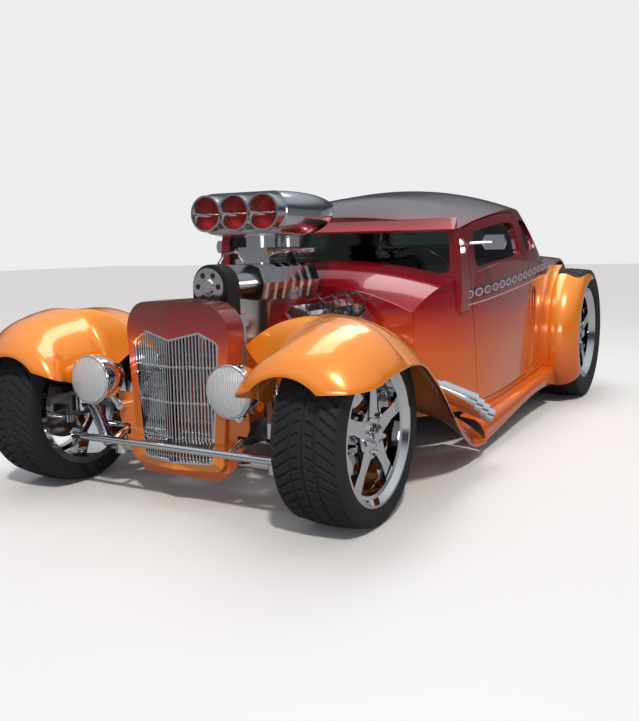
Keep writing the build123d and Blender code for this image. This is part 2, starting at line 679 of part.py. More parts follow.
def make_wheels():
    front = wheel(FRONT_RIM_R, FRONT_TRACK_X + FRONT_RIM_WIDTH / 2, FRONT_RIM_WIDTH, HUB_FRONT_X,
                  DISC_FRONT_X)
    rear = wheel(REAR_RIM_R, REAR_TRACK_X + REAR_RIM_WIDTH / 2, REAR_RIM_WIDTH, HUB_REAR_X, DISC_REAR_X)
    front_tyre = tyre(FRONT_TYRE_R, FRONT_RIM_R, FRONT_TYRE_WIDTH, FRONT_RIM_WIDTH / 2 - BEAD)
    rear_tyre = tyre(REAR_TYRE_R, REAR_RIM_R, REAR_TYRE_WIDTH, REAR_RIM_WIDTH / 2 - BEAD)
    front = Pos(0, 0, FRONT_TYRE_R) * front
    rear = on_axle(rear)
    front_tyre = Pos(FRONT_TRACK_X, 0, FRONT_TYRE_R) * front_tyre
    rear_tyre = on_axle(Pos(REAR_TRACK_X, 0, 0) * rear_tyre)
    return {
        "front_wheel_left": front, "front_wheel_right": mirrored(front),
        "rear_wheel_left": rear, "rear_wheel_right": mirrored(rear),
        "front_tyre_left": front_tyre, "front_tyre_right": mirrored(front_tyre),
        "rear_tyre_left": rear_tyre, "rear_tyre_right": mirrored(rear_tyre),
    }


def make_rear_axle():
    plate_x = DISC_REAR_X - 36
    tube = drum(38, -plate_x + 8, plate_x - 8)
    housing = Sphere(130) & box(-110, 110, -140, 140, -140, 140)
    nose = Rot(90, 0, 0) * Pos(0, 0, 120) * Cylinder(60, 80)
    end = drum(SPINDLE_R, plate_x - 4, HUB_REAR_X - 35)
    plate = drum(66, plate_x - 16, plate_x)
    caliper = Rot(-20, 0, 0) * make_caliper(DISC_REAR_X, plate_x)
    arm = box(plate_x - 16, plate_x, -150, -40, -20, 40)
    side_parts = end + plate + caliper + arm
    return on_axle(tube + housing + nose + side_parts + mirrored(side_parts))


def make_rear_links():
    low, high = (420, WHEELBASE + 60, REAR_TYRE_R + 10), (330, WHEELBASE + 70, BOOT_Z - 30)
    shock = rod(low, high, 24)
    top = rod((RAIL_X + RAIL_WIDTH, WHEELBASE + 70, 500), (336, WHEELBASE + 70, 500), 12)
    foot = rod((420, WHEELBASE + 38 + CLEAR, REAR_TYRE_R), (420, WHEELBASE + 64, REAR_TYRE_R), 12)
    bar = rod((380, WHEELBASE - 47, REAR_TYRE_R), (RAIL_X + RAIL_WIDTH + 20, 2290, 378), 14)
    pivot = rod((RAIL_X + RAIL_WIDTH, 2290, 378), (RAIL_X + RAIL_WIDTH + 36, 2290, 378), 18)
    return group(shock + top + foot, bar + pivot, mirrored(shock + top + foot), mirrored(bar + pivot))


def shaft_ends():
    """The two universal joints that the propeller shaft runs between."""
    return (0, GEARBOX_END_Y + 40, GEARBOX_Z), (0, WHEELBASE - 200, REAR_TYRE_R)


def make_driveshaft():
    front, rear = shaft_ends()
    shaft = rod(front, rear, 30)
    shaft = shaft + Pos(*front) * Sphere(36) + Pos(*rear) * Sphere(36)
    shaft = shaft + rod((0, GEARBOX_END_Y + CLEAR, GEARBOX_Z), front, 26)
    return shaft + rod(rear, (0, WHEELBASE - 160 - CLEAR, REAR_TYRE_R), 26)


def bank(shape):
    """Places a shape drawn upright above the crankshaft on the left bank."""
    return Pos(0, 0, CRANK_Z) * Rot(0, BANK_ANGLE, 0) * shape


def make_engine():
    y0, y1 = ENGINE_FRONT_Y, ENGINE_REAR_Y
    sump = box(-100, 100, y0 + 20, y1 - 20, CRANK_Z - 130, CRANK_Z + 60)
    cylinders = bank(box(-95, 95, y0, y1 - 20, 0, 240))
    head = bank(box(-105, 90, y0 + 6, y1 - 26, 240, HEAD_TOP))
    valley = box(-80, 80, y0 + 20, y1 - 40, CRANK_Z + 60, 560)
    block = sump + cylinders + mirrored(cylinders) + head + mirrored(head) + valley
    bell = Pos(0, (y1 - 20 + FIREWALL_Y + 60) / 2, 300) * Rot(90, 0, 0) * Cylinder(95, FIREWALL_Y + 80 - y1)
    case = box(-80, 80, FIREWALL_Y + 50, GEARBOX_END_Y, 220, 370)
    mount = box(-RAIL_X, RAIL_X, 480, 540, 250, 300)
    return block + bell + case + mount


def make_valve_covers():
    y0, y1 = COVER_FRONT_Y, COVER_REAR_Y
    outline = Polyline((-100, 0), (90, 0), (90, 34), (56, 72), (-40, 72), (-100, 40), close=True)
    cover = extrude(Plane(origin=(0, y1, 0), x_dir=(1, 0, 0), z_dir=(0, -1, 0)) * make_face(outline), y1 - y0)
    cover = bank(Pos(-4, 0, HEAD_TOP + CLEAR) * cover)
    return group(cover, mirrored(cover))


# Exhaust pipes: (port y, tip y, tip z)
PIPES = ((461, 679, 342), (581, 749, 308), (694, 820, 275), (800, 893, 240))
TIP_X = 848


def pipe_route(port_y, tip_y, tip_z):
    port = (HEAD_OUT_X, port_y, 460)
    over = (452, port_y + 16, 520)
    down = (TIP_X - 200, tip_y - 78, tip_z + 66)
    end = (TIP_X - 96, tip_y - 34, tip_z + 20)
    return port, over, down, end


def make_headers():
    pipes = []
    for row in PIPES:
        port, over, down, end = pipe_route(*row)
        path = FilletPolyline(port, over, down, end, radius=[48, 90])
        section = Plane(origin=port, z_dir=path % 0) * Circle(PIPE_R)
        pipes.append(sweep(section, path=path))
    flange = bank(box(90 + CLEAR, 98, ENGINE_FRONT_Y + 30, ENGINE_REAR_Y - 40, 262, 350))
    left = flange
    for piece in pipes:
        left = left + piece
    left = left - bank(box(-200, 90 + CLEAR, 0, 1000, 0, 500))
    return group(left, mirrored(left))


def make_tips():
    tips = []
    for row in PIPES:
        port, over, down, end = pipe_route(*row)
        a, b = Vector(*down), Vector(*end)
        way = (b - a).normalized()
        start = b - way * TIP_SOCKET
        outer = extrude(Plane(origin=start, z_dir=way) * Circle(TIP_R), TIP_LENGTH)
        socket = extrude(Plane(origin=start, z_dir=way) * Circle(PIPE_R + CLEAR), TIP_SOCKET)
        bore = extrude(Plane(origin=b, z_dir=way) * Circle(TIP_BORE_R), TIP_LENGTH)
        tips.append(outer - socket - bore)
    return group(*tips, *[mirrored(s) for s in tips])


def make_blower():
    y0, y1 = BLOWER_FRONT_Y, BLOWER_REAR_Y
    outline = make_face(Polyline((-104, 727), (104, 727), (118, 790), (96, 850), (60, 862), (-60, 862),
                                 (-96, 850), (-118, 790), close=True))
    case = extrude(across(y0 + 60) * outline, -(y1 - y0 - 60))
    for k in range(6):
        y = y0 + 90 + k * 66
        case = case + extrude(across(y) * offset(outline, 7, kind=Kind.INTERSECTION), -16)
    case = case - box(-200, 200, y0, y1 + 50, BLOWER_TOP_Z, 1000)
    snout = rod((0, DRIVE_REAR_Y + CLEAR, DRIVE_Z), (0, y0 + 62, DRIVE_Z), 44)
    manifold = face_at_y(((-78, 560), (78, 560), (104, 727), (-104, 727)), y0 + 130, y1 + 50)
    return case + snout + manifold


def loop_face(circles, margin):
    """The outline of a belt round pulleys given as (x, z, radius)."""
    discs = [Pos(x, z) * Circle(r + margin) for x, z, r in circles]
    return make_hull(discs[0].edges() + discs[1].edges())


def make_drive():
    y0, y1 = DRIVE_FRONT_Y, DRIVE_REAR_Y
    top, bottom = (0, DRIVE_Z, 76), (0, CRANK_Z, 84)
    ends = (top, bottom)
    belt = extrude(across(y0 + 4) * (loop_face(ends, 7) - loop_face(ends, 0)), -(y1 - y0 - 8))
    shape = belt
    for x, z, r in ends:
        shape = shape + rod((x, y0, z), (x, y1, z), r)
        shape = shape + rod((x, y0 - 8, z), (x, y0, z), 52)
    crank = rod((0, y1, CRANK_Z), (0, ENGINE_FRONT_Y, CRANK_Z), 40)
    return shape + crank


def make_carburettors():
    pieces = []
    for y in CARBS:
        base = box(-84, 84, y - 78, y + 78, BLOWER_TOP_Z + CLEAR, 882)
        bowl = box(-70, 70, y - 74, y + 74, 882, 930)
        throat = rod((0, y, 920), (0, y, CARB_TOP_Z), 66)
        pieces.append(base + bowl + throat)
    return group(*pieces)


def make_scoop():
    front = Plane(origin=(0, SCOOP_FRONT_Y + 62, SCOOP_Z), x_dir=(1, 0, 0), z_dir=(0, -1, 0))
    waist = Plane(origin=(0, SCOOP_REAR_Y - 210, SCOOP_Z + 2), x_dir=(1, 0, 0), z_dir=(0, -1, 0))
    rear = Plane(origin=(0, SCOOP_REAR_Y, SCOOP_Z + 26), x_dir=(1, 0, 0), z_dir=(0, -1, 0))
    body = loft([front * RectangleRounded(424, 164, 70), waist * RectangleRounded(396, 150, 66),
                 rear * RectangleRounded(230, 54, 24)])
    for k in (-1, 0, 1):
        x = k * MOUTH_PITCH
        body = body + rod((x, SCOOP_FRONT_Y, SCOOP_Z), (x, SCOOP_FRONT_Y + 70, SCOOP_Z), MOUTH_R)
    for k in (-1, 0, 1):
        x = k * MOUTH_PITCH
        body = body - rod((x, SCOOP_FRONT_Y - 5, SCOOP_Z), (x, SCOOP_FRONT_Y + 110, SCOOP_Z), MOUTH_R - 8)
    for y in CARBS:
        body = body + rod((0, y, CARB_TOP_Z + CLEAR), (0, y, SCOOP_Z), 72)
    return body


def make_interior(hollow):
    seat = slab(((1560, 232), (2060, 232), (2140, 600), (2030, 640), (1950, 420), (1560, 400)), -540, 540)
    seat = seat - tunnel(TUNNEL_R + 6 + CLEAR)
    dash = slab(((1150, 685), (1200, 685), (1210, 800), (1160, 830)), -640, 640) & hollow
    ring = Pos(WHEEL_X, 1372, 770) * Rot(-62, 0, 0) * Torus(170, 11)
    boss = Pos(WHEEL_X, 1372, 770) * Rot(-62, 0, 0) * Cylinder(34, 24)
    arms = Pos(WHEEL_X, 1372, 770) * Rot(-62, 0, 0) * (Box(340, 22, 8) + Pos(0, -85, 0) * Box(22, 170, 8))
    column = rod((WHEEL_X, 1372, 770), (WHEEL_X, 1178, 668), 20) - dash
    column = max(column.solids(), key=lambda piece: piece.volume)
    return dict(seat=seat, dashboard=dash, steering_wheel=ring + boss + arms + column)


def make_trim(outside, door):
    oval = Pos(745, 1262, 934) * Rot(90, 0, 0) * (Cylinder(52, 22) & Box(200, 66, 60))
    arm = rod((745, 1262, 934), (640, 1214, 930), 7)
    mirror_piece = (oval + arm) - door
    mirror_piece = max(mirror_piece.solids(), key=lambda s: s.volume)
    cap = rod((0, FILLER_Y, 870), (0, FILLER_Y, 906), 34) - outside
    lamp = rod((LAMP_REAR_X, TAIL_Y + CLEAR, 350), (LAMP_REAR_X, TAIL_Y + TAIL_LAMP_DEPTH, 350), 38)
    bar = rod((-468, BAR_Y, 225), (468, BAR_Y, 225), 14)
    strut = rod((RAIL_X + 24, BAR_Y, 226), (RAIL_X + 24, RAIL_FRONT_Y - CLEAR, 262), 11)
    strut = strut - box(0, 400, RAIL_FRONT_Y - CLEAR, 0, 100, 400)
    return dict(mirror_left=mirror_piece, mirror_right=mirrored(mirror_piece), fuel_filler=cap,
                tail_lamps=pair(lamp), spreader_bar=bar + strut + mirrored(strut))


def save(name, shape):
    """Writes a node with the origin under the middle of the car."""
    solids = [Pos(0, -MIDDLE, 0) * solid for solid in shape.solids()]
    export_step(Compound(children=solids) if len(solids) > 1 else solids[0], f"parts/{name}.step")


def tunnel(radius):
    """The room for the propeller shaft: round above it and straight down to the road."""
    front, rear = shaft_ends()
    below = ((front[1], 100), (rear[1], 100), (rear[1], rear[2]), (front[1], front[2]))
    return rod(front, rear, radius) + slab(below, -radius, radius)


def cut_tunnel(firewall, pan):
    """The opening for the gearbox, and the covers over it and the propeller shaft."""
    top = GEARBOX_Z + 110
    cabin_y = FIREWALL_Y + CLEAR
    gear_space = box(-112, 112, 860, GEARBOX_END_Y + 40, 100, top)
    gear_cover = box(-118, 118, cabin_y, GEARBOX_END_Y + 46, FLOOR_Z, top + 6)
    shaft_space = tunnel(TUNNEL_R)
    shaft_cover = tunnel(TUNNEL_R + 6) & box(-200, 200, 900, 2250, FLOOR_Z, 600)
    pan = pan + gear_cover + shaft_cover - gear_space - shaft_space
    for x in (-RAIL_X - RAIL_WIDTH - 3, RAIL_X - 3):
        firewall = firewall - box(x, x + RAIL_WIDTH + 6, 800, 1000, 100, 325)
        pan = pan - box(x, x + RAIL_WIDTH + 6, 2080, 2400, 150, 525)
    for x in (-TUB_X - 30, TUB_X - 30):
        pan = pan - box(x, x + 60, WHEELBASE - 60, WHEELBASE + 60, 100, REAR_TYRE_R + 60)
    return firewall - gear_space, pan


os.makedirs("parts", exist_ok=True)
outside, hollow, nodes = make_body()
nodes.update(make_glass())
nodes.update(make_floor(hollow))
nodes["firewall"], nodes["floor_pan"] = cut_tunnel(nodes["firewall"], nodes["floor_pan"])
front_fender = make_front_fender()
nodes["front_fender_left"] = front_fender
nodes["front_fender_right"] = mirrored(front_fender)
rear_fender = make_rear_fender()
nodes["rear_fenders"] = pair(rear_fender)
nodes["running_boards"] = pair(make_running_board() - outside - rear_fender)
nodes["front_apron"] = make_apron()
nodes["grille_shell"] = make_shell()
nodes["grille_bars"] = make_grille()
nodes["radiator"] = make_radiator()
nodes["headlights"] = pair(make_headlight())
nodes["headlight_lenses"] = pair(make_lens())
nodes["frame_rails"] = make_frame()
nodes["front_axle"] = make_front_axle()
nodes["front_shocks"] = make_front_shocks()
nodes["knuckle_left"] = make_knuckle()
nodes["knuckle_right"] = mirrored(nodes["knuckle_left"])
nodes["tie_rod"] = make_tie_rod()
nodes.update(make_wheels())
nodes["rear_axle"] = make_rear_axle()
nodes["rear_links"] = make_rear_links()
nodes["driveshaft"] = make_driveshaft()
nodes["engine_block"] = make_engine()
nodes["valve_covers"] = make_valve_covers()
nodes["headers"] = make_headers()
nodes["exhaust_tips"] = make_tips()
nodes["blower"] = make_blower()
nodes["blower_drive"] = make_drive()
nodes["carburettors"] = make_carburettors()
nodes["air_scoop"] = make_scoop()
nodes.update(make_interior(hollow))
nodes.update(make_trim(outside, nodes["door_left"]))
for name, shape in nodes.items():
    save(name, shape)
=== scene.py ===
import json
import math

import bpy
from mathutils import Matrix, Vector


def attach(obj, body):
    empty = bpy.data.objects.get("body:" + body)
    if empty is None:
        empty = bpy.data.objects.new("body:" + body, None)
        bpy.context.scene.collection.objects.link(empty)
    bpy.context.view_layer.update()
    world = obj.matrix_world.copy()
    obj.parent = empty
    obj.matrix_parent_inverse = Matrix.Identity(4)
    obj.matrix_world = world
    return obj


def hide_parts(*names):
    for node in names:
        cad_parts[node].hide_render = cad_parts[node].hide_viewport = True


# Looks of the hot rod coupe. Metres, +X to the car's left, -Y forward, +Z up, ground at Z = 0.
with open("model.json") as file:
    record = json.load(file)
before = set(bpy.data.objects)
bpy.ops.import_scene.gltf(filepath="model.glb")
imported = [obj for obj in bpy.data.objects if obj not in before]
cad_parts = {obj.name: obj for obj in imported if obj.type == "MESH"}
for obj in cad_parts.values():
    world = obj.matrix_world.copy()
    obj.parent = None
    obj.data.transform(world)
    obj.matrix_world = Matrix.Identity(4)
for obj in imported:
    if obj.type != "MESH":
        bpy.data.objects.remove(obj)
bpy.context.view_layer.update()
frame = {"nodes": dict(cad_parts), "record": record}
nodes = frame["nodes"]

# Places that the looks share with the part
MIDDLE = 1.478
FRONT_Y = -MIDDLE
REAR_Y = 2.692 - MIDDLE
FRONT_R, REAR_R = 0.318, 0.385
CRANK_Z = 0.330
HEAD_TOP = 0.378
BANK = math.radians(45)

# Paint heights
FADE_LOW, FADE_HIGH = 0.18, 0.66
BELT_Y0, BELT_Z0, BELT_SLOPE = 1.160 - MIDDLE, 0.700, 0.088
BELT_HALF = 0.026
ROPE_DROP = 0.046
BELT_END_Y = 2.500 - MIDDLE
ARCH_BAND_R, ARCH_BAND_HALF = 0.452, 0.020
FLANK_X = 0.58
LINK_PITCH = 0.086
ROPE_PITCH, ROPE_HALF = 0.016, 0.0035

# Wheels and tyres: how far out each stands, its rim, its width and where its bead seats
FRONT_X, REAR_X = 0.654, 0.722
FRONT_RIM, REAR_RIM = 0.2286, 0.254
FRONT_WIDTH, REAR_WIDTH = 0.245, 0.318
FRONT_SEAT, REAR_SEAT = 0.236 / 2 - 0.0125, 0.284 / 2 - 0.0125
FRONT_HUB_X, REAR_HUB_X = 0.732, 0.812
FRONT_DISC_X, REAR_DISC_X = 0.676, 0.752
NUT_CIRCLE_R = 0.064


def linear(channel):
    return channel / 12.92 if channel <= 0.04045 else ((channel + 0.055) / 1.055) ** 2.4


def colour(code):
    """A linear colour with alpha from an sRGB code such as c01020."""
    return tuple(linear(int(code[i:i + 2], 16) / 255) for i in (0, 2, 4)) + (1.0,)


class Tree:
    """One material's nodes: add() makes a node, sets its inputs and links its sources."""

    def __init__(self, name):
        self.material = bpy.data.materials.new(name)
        self.material.use_nodes = True
        self.tree = self.material.node_tree
        self.shader = self.tree.nodes["Principled BSDF"]

    def add(self, kind, settings=None, **inputs):
        node = self.tree.nodes.new(kind)
        for key, value in (settings or {}).items():
            setattr(node, key, value)
        self.feed(node, **inputs)
        return node

    def feed(self, node, **inputs):
        for key, value in inputs.items():
            socket = node.inputs[int(key[1:])] if key[0] == "i" and key[1:].isdigit() else node.inputs[
                key.replace("_", " ")]
            if isinstance(value, bpy.types.NodeSocket):
                self.tree.links.new(value, socket)
            else:
                socket.default_value = value

    def maths(self, operation, a, b=0.0, c=0.0):
        return self.add("ShaderNodeMath", {"operation": operation}, i0=a, i1=b, i2=c).outputs[0]

    def place(self):
        """The point's x, y and z on the part, in metres."""
        point = self.add("ShaderNodeTexCoord").outputs["Object"]
        split = self.add("ShaderNodeSeparateXYZ", i0=point)
        return point, split.outputs[0], split.outputs[1], split.outputs[2]

    def noise(self, point, millimetres, detail=2.0):
        return self.add("ShaderNodeTexNoise", Vector=point, Scale=1000.0 / millimetres,
                        Detail=detail).outputs[0]

    def rough(self, point, low, high, millimetres):
        """Roughness that wanders between two values over a real distance."""
        grain = self.noise(point, millimetres)
        spread = self.add("ShaderNodeMapRange", Value=grain, To_Min=low, To_Max=high)
        self.feed(self.shader, Roughness=spread.outputs[0])
        return grain

    def bump(self, height, depth):
        node = self.add("ShaderNodeBump", Strength=1.0, Distance=depth, Height=height)
        self.feed(self.shader, Normal=node.outputs[0])

    def mix(self, factor, a, b):
        node = self.add("ShaderNodeMix", {"data_type": "RGBA"}, Factor=factor)
        for socket, value in ((node.inputs[6], a), (node.inputs[7], b)):
            if isinstance(value, bpy.types.NodeSocket):
                self.tree.links.new(value, socket)
            else:
                socket.default_value = value
        return node.outputs[2]

    def ramp(self, factor, stops):
        node = self.add("ShaderNodeValToRGB", i0=factor)
        ramp = node.color_ramp
        while len(ramp.elements) < len(stops):
            ramp.elements.new(0.5)
        for element, (position, code) in zip(ramp.elements, stops):
            element.position = position
            element.color = colour(code)
        return node.outputs[0]


def lacquer(tree, point):
    """Polished clear coat over flake, with the faint waviness of a rubbed-down finish."""
    tree.rough(point, 0.20, 0.28, 180)
    tree.feed(tree.shader, Coat_Weight=1.0, Coat_Roughness=0.02, Coat_IOR=1.5, Metallic=0.25)
    wave = tree.noise(point, 260, 1.0)
    tree.bump(wave, 0.0006)


def height_share(tree, z, low, high):
    share = tree.add("ShaderNodeMapRange", Value=z, From_Min=low, From_Max=high)
    return share.outputs[0]


def candy_body():
    """Body panels: candy red over a silver base, sprayed to orange low down, with the belt band."""
    t = Tree("candy red lacquer, sprayed fade")
    point, x, y, z = t.place()
    fade = t.ramp(height_share(t, z, FADE_LOW, FADE_HIGH), (
        (0.0, "e07210"), (0.55, "d85c10"), (0.85, "bc3410"), (1.0, "8e0c1a")))
    belt_z = t.maths("MULTIPLY_ADD", t.maths("SUBTRACT", y, BELT_Y0), BELT_SLOPE, BELT_Z0)
    above = t.maths("SUBTRACT", z, belt_z)
    flank = t.maths("GREATER_THAN", t.maths("ABSOLUTE", x), FLANK_X)
    started = t.maths("GREATER_THAN", y, BELT_Y0)
    side = t.maths("MULTIPLY", t.maths("MULTIPLY", flank, started), t.maths("LESS_THAN", y, BELT_END_Y))
    upper = t.maths("GREATER_THAN", above, BELT_HALF)
    paint = t.mix(upper, fade, colour("7e0818"))
    in_band = t.maths("LESS_THAN", t.maths("ABSOLUTE", above), BELT_HALF)
    in_band = t.maths("MULTIPLY", in_band, side)
    paint = t.mix(in_band, paint, colour("2c0a2a"))
    link = t.maths("FRACT", t.maths("MULTIPLY", y, 1 / LINK_PITCH))
    along = t.maths("MULTIPLY", t.maths("SUBTRACT", link, 0.5), 2.0)
    across = t.maths("DIVIDE", above, BELT_HALF * 0.86)
    reach = t.maths("ADD", t.maths("POWER", t.maths("ABSOLUTE", along), 2.0),
                    t.maths("POWER", t.maths("ABSOLUTE", across), 2.0))
    oval = t.maths("MULTIPLY", t.maths("LESS_THAN", reach, 0.72), side)
    core = t.maths("MULTIPLY", t.maths("LESS_THAN", reach, 0.34), side)
    paint = t.mix(oval, paint, colour("b9b4bd"))
    paint = t.mix(core, paint, colour("a3122c"))
    rope = t.maths("LESS_THAN", t.maths("ABSOLUTE", t.maths("ADD", above, ROPE_DROP)), ROPE_HALF)
    twist = t.maths("FRACT", t.maths("MULTIPLY", t.maths("ADD", y, z), 1 / ROPE_PITCH))
    rope = t.maths("MULTIPLY", t.maths("MULTIPLY", rope, t.maths("LESS_THAN", twist, 0.62)), side)
    paint = t.mix(rope, paint, colour("e8c8a0"))
    run, rise = t.maths("SUBTRACT", y, REAR_Y), t.maths("SUBTRACT", z, REAR_R)
    reach = t.maths("SQRT", t.maths("ADD", t.maths("MULTIPLY", run, run), t.maths("MULTIPLY", rise, rise)))
    arch = t.maths("LESS_THAN", t.maths("ABSOLUTE", t.maths("SUBTRACT", reach, ARCH_BAND_R)), ARCH_BAND_HALF)
    arch = t.maths("MULTIPLY", t.maths("MULTIPLY", arch, flank), t.maths("GREATER_THAN", y, BELT_END_Y))
    paint = t.mix(arch, paint, colour("2c0a2a"))
    t.feed(t.shader, Base_Color=paint)
    lacquer(t, point)
    return t.material


def candy(name, stops, low, high):
    """Lacquer over pearl whose colour follows height; on the fenders that ramp is painted shade low down and
    painted highlight towards the top.
    """
    t = Tree(name)
    point, _, _, z = t.place()
    base = t.ramp(height_share(t, z, low, high), stops)
    flake = t.noise(point, 1.2, 0.0)
    base = t.mix(t.maths("MULTIPLY", flake, 0.05), base, colour("ffe2a8"))
    t.feed(t.shader, Base_Color=base)
    lacquer(t, point)
    return t.material


def metal(name, code, low, high, millimetres, depth=0.0):
    """A metal whose polish varies slightly over its surface."""
    t = Tree(name)
    point = t.place()[0]
    grain = t.rough(point, low, high, millimetres)
    t.feed(t.shader, Base_Color=colour(code), Metallic=1.0)
    if depth:
        t.bump(grain, depth)
    return t.material


def dull(name, code, low, high, millimetres, depth=0.0002):
    t = Tree(name)
    point = t.place()[0]
    grain = t.rough(point, low, high, millimetres)
    t.feed(t.shader, Base_Color=colour(code))
    t.bump(grain, depth)
    return t.material


def clear(name, code, roughness, ior):
    t = Tree(name)
    point = t.place()[0]
    t.rough(point, roughness, roughness + 0.01, 90)
    t.feed(t.shader, Base_Color=colour(code), Transmission_Weight=1.0, IOR=ior)
    return t.material


def fluted_glass():
    """Pressed lamp glass: upright flutes that scatter what lies behind."""
    t = Tree("pressed lamp glass, fluted")
    point, x, _, _ = t.place()
    flute_pitch = 0.009
    flute = t.maths("SINE", t.maths("MULTIPLY", x, 2 * math.pi / flute_pitch))
    t.rough(point, 0.03, 0.06, 60)
    t.feed(t.shader, Base_Color=colour("eef2f6"), Transmission_Weight=0.55, IOR=1.5)
    t.bump(flute, 0.0008)
    return t.material


# Lacquer gives depth and a sharp second highlight, chrome a mirror of the stage, cast alloy a softer one;
# rubber and leather stay matt with a fine grain, and enamel is an even gloss.
MATERIALS = {
    "body_red": candy_body(),
    "roof_black": candy("black cherry lacquer over pearl", (
        (0.0, "98102a"), (0.45, "3c0a18"), (1.0, "16060e")), 1.00, 1.14),
    # Fender ramp: painted light over the fender's own orange, with painted shade low down and painted
    # highlight towards the top.
    "fender_gold": candy("golden orange pearl lacquer", (
        (0.0, "d25a10"), (0.5, "e27610"), (1.0, "ec8c16")), 0.10, 0.70),
    "shell_fade": candy("maroon to orange lacquer", (
        (0.0, "e8841c"), (0.62, "d8501c"), (0.80, "8c1020"), (1.0, "5c0a18")), 0.14, 0.75),
    "chrome": metal("chrome plating, buffed", "dfe1e4", 0.03, 0.06, 120),
    "polished_alloy": metal("cast aluminium, hand polished", "d3d4d6", 0.10, 0.17, 35, 0.0001),
    "frame_black": dull("gloss black frame enamel", "0c0c0d", 0.22, 0.32, 90),
    "tyre": dull("moulded tyre rubber", "17171a", 0.62, 0.80, 14),
    "belt_rubber": dull("toothed belt rubber", "141416", 0.55, 0.70, 8),
    "glass": clear("tinted safety glass, float", "7d8f8a", 0.01, 1.52),
    "lens": fluted_glass(),
    "red_lens": dull("moulded red acrylic", "8c0d10", 0.12, 0.18, 60),
    "leather": dull("tan seat leather, stitched", "5a3c28", 0.45, 0.60, 6, 0.0006),
    "steel": metal("machined steel, turned", "8c8e92", 0.28, 0.40, 20, 0.0001),
    "caliper_red": dull("dark red caliper enamel", "6a0d14", 0.25, 0.35, 70),
    "lead": dull("silicone ignition lead", "101013", 0.40, 0.50, 20),
}

record = frame["record"]
node_slot = {row["node"]: row["material_slot"] for row in record["subparts"]}
PAINTED = {"grille_shell": "shell_fade"}
for name, piece in nodes.items():
    key = PAINTED.get(name, node_slot[name])
    piece.data.materials.clear()
    piece.data.materials.append(MATERIALS[key])


def new_piece(name, verts, faces, material, body, smooth=True):
    mesh = bpy.data.meshes.new(name)
    mesh.from_pydata(verts, [], faces)
    mesh.validate()
    mesh.update()
    if smooth:
        for polygon in mesh.polygons:
            polygon.use_smooth = True
    thing = bpy.data.objects.new(name, mesh)
    bpy.context.scene.collection.objects.link(thing)
    mesh.materials.append(MATERIALS[material])
    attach(thing, body)
    return thing


class Bits:
    """Gathers simple closed forms into one mesh."""

    def __init__(self):
        self.verts, self.faces = [], []

    def put(self, verts, faces):
        base = len(self.verts)
        self.verts += [tuple(v) for v in verts]
        self.faces += [tuple(i + base for i in face) for face in faces]

    def tube(self, path, radius, sides=10):
        """A round bar along points, closed at both ends."""
        path = [Vector(p) for p in path]
        rings = []
        for i, point in enumerate(path):
            ahead = path[min(i + 1, len(path) - 1)] - path[max(i - 1, 0)]
            ahead.normalize()
            helper = Vector((0, 0, 1)) if abs(ahead.z) < 0.9 else Vector((0, 1, 0))
            u = ahead.cross(helper).normalized()
            v = ahead.cross(u)
            r = radius[i] if isinstance(radius, (list, tuple)) else radius
            rings.append([point + r * (u * math.cos(a) + v * math.sin(a))
                          for a in (2 * math.pi * k / sides for k in range(sides))])
        verts = [p for ring in rings for p in ring]
        faces = [(i * sides + k, i * sides + (k + 1) % sides, (i + 1) * sides + (k + 1) % sides,
                  (i + 1) * sides + k) for i in range(len(rings) - 1) for k in range(sides)]
        faces.append(tuple(range(sides)))
        faces.append(tuple((len(rings) - 1) * sides + k for k in reversed(range(sides))))
        self.put(verts, faces)

    def block(self, low, high):
        (x0, y0, z0), (x1, y1, z1) = low, high
        verts = [(x, y, z) for z in (z0, z1) for y in (y0, y1) for x in (x0, x1)]
        faces = [(0, 2, 3, 1), (4, 5, 7, 6), (0, 1, 5, 4), (2, 6, 7, 3), (0, 4, 6, 2), (1, 3, 7, 5)]
        self.put(verts, faces)


# Tyres with a directional tread
def tyre_profile(radius, rim, half, seat):
    """Half the tyre's section as (across, radius) from the bead to the shoulder."""
    waist = rim + 0.5 * (radius - rim)
    bead = rim + 0.017
    points = []
    steps = 9
    for k in range(steps + 1):
        t = k / steps
        r = bead + (radius - 0.010 - bead) * t
        swell = 1 - ((r - waist) / (radius - waist)) ** 2
        low = seat if r < waist else half - 0.020
        x = low + (half - low) * max(0.0, swell) ** 0.6
        points.append((x, r))
    return points


def make_tyre(name, centre, radius, rim, width, seat, body, lean):
    """A tyre about the X axis: a sidewall on each side and a tread cut with curved grooves."""
    half = width / 2
    edge = half - 0.020
    wall = tyre_profile(radius, rim, half - 0.0005, seat)
    across_steps, around = 44, 432
    pitch_count = 54
    crown = 0.009
    tread = [edge - 2 * edge * k / across_steps for k in range(across_steps + 1)]
    verts, faces = [], []
    count = 2 * len(wall) + len(tread) + 2
    for a in range(around):
        angle = 2 * math.pi * a / around
        turn = a / around * pitch_count
        section = [(seat, rim + 0.0004)] + wall
        for x in tread:
            share = abs(x) / edge
            sweep = 1.5 * share ** 1.4
            phase = (turn + lean * sweep) % 1.0
            groove = phase < 0.20 and share > 0.10
            channel = abs(share - 0.42) < 0.035 or share < 0.03
            depth = 0.0075 if groove or channel else 0.0
            r = radius - 0.0005 - crown * share ** 2.2 - depth
            section.append((x, r))
        section += [(-x, r) for x, r in reversed(wall)]
        section.append((-seat, rim + 0.0004))
        for x, r in section:
            verts.append((centre[0] + x, centre[1] + r * math.sin(angle), centre[2] + r * math.cos(angle)))
    size = len(section)
    for a in range(around):
        b = (a + 1) % around
        for k in range(size - 1):
            faces.append((a * size + k, a * size + k + 1, b * size + k + 1, b * size + k))
        faces.append((a * size + size - 1, a * size, b * size, b * size + size - 1))
    thing = new_piece(name + "_tread", verts, faces, "tyre", body, smooth=False)
    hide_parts(name)


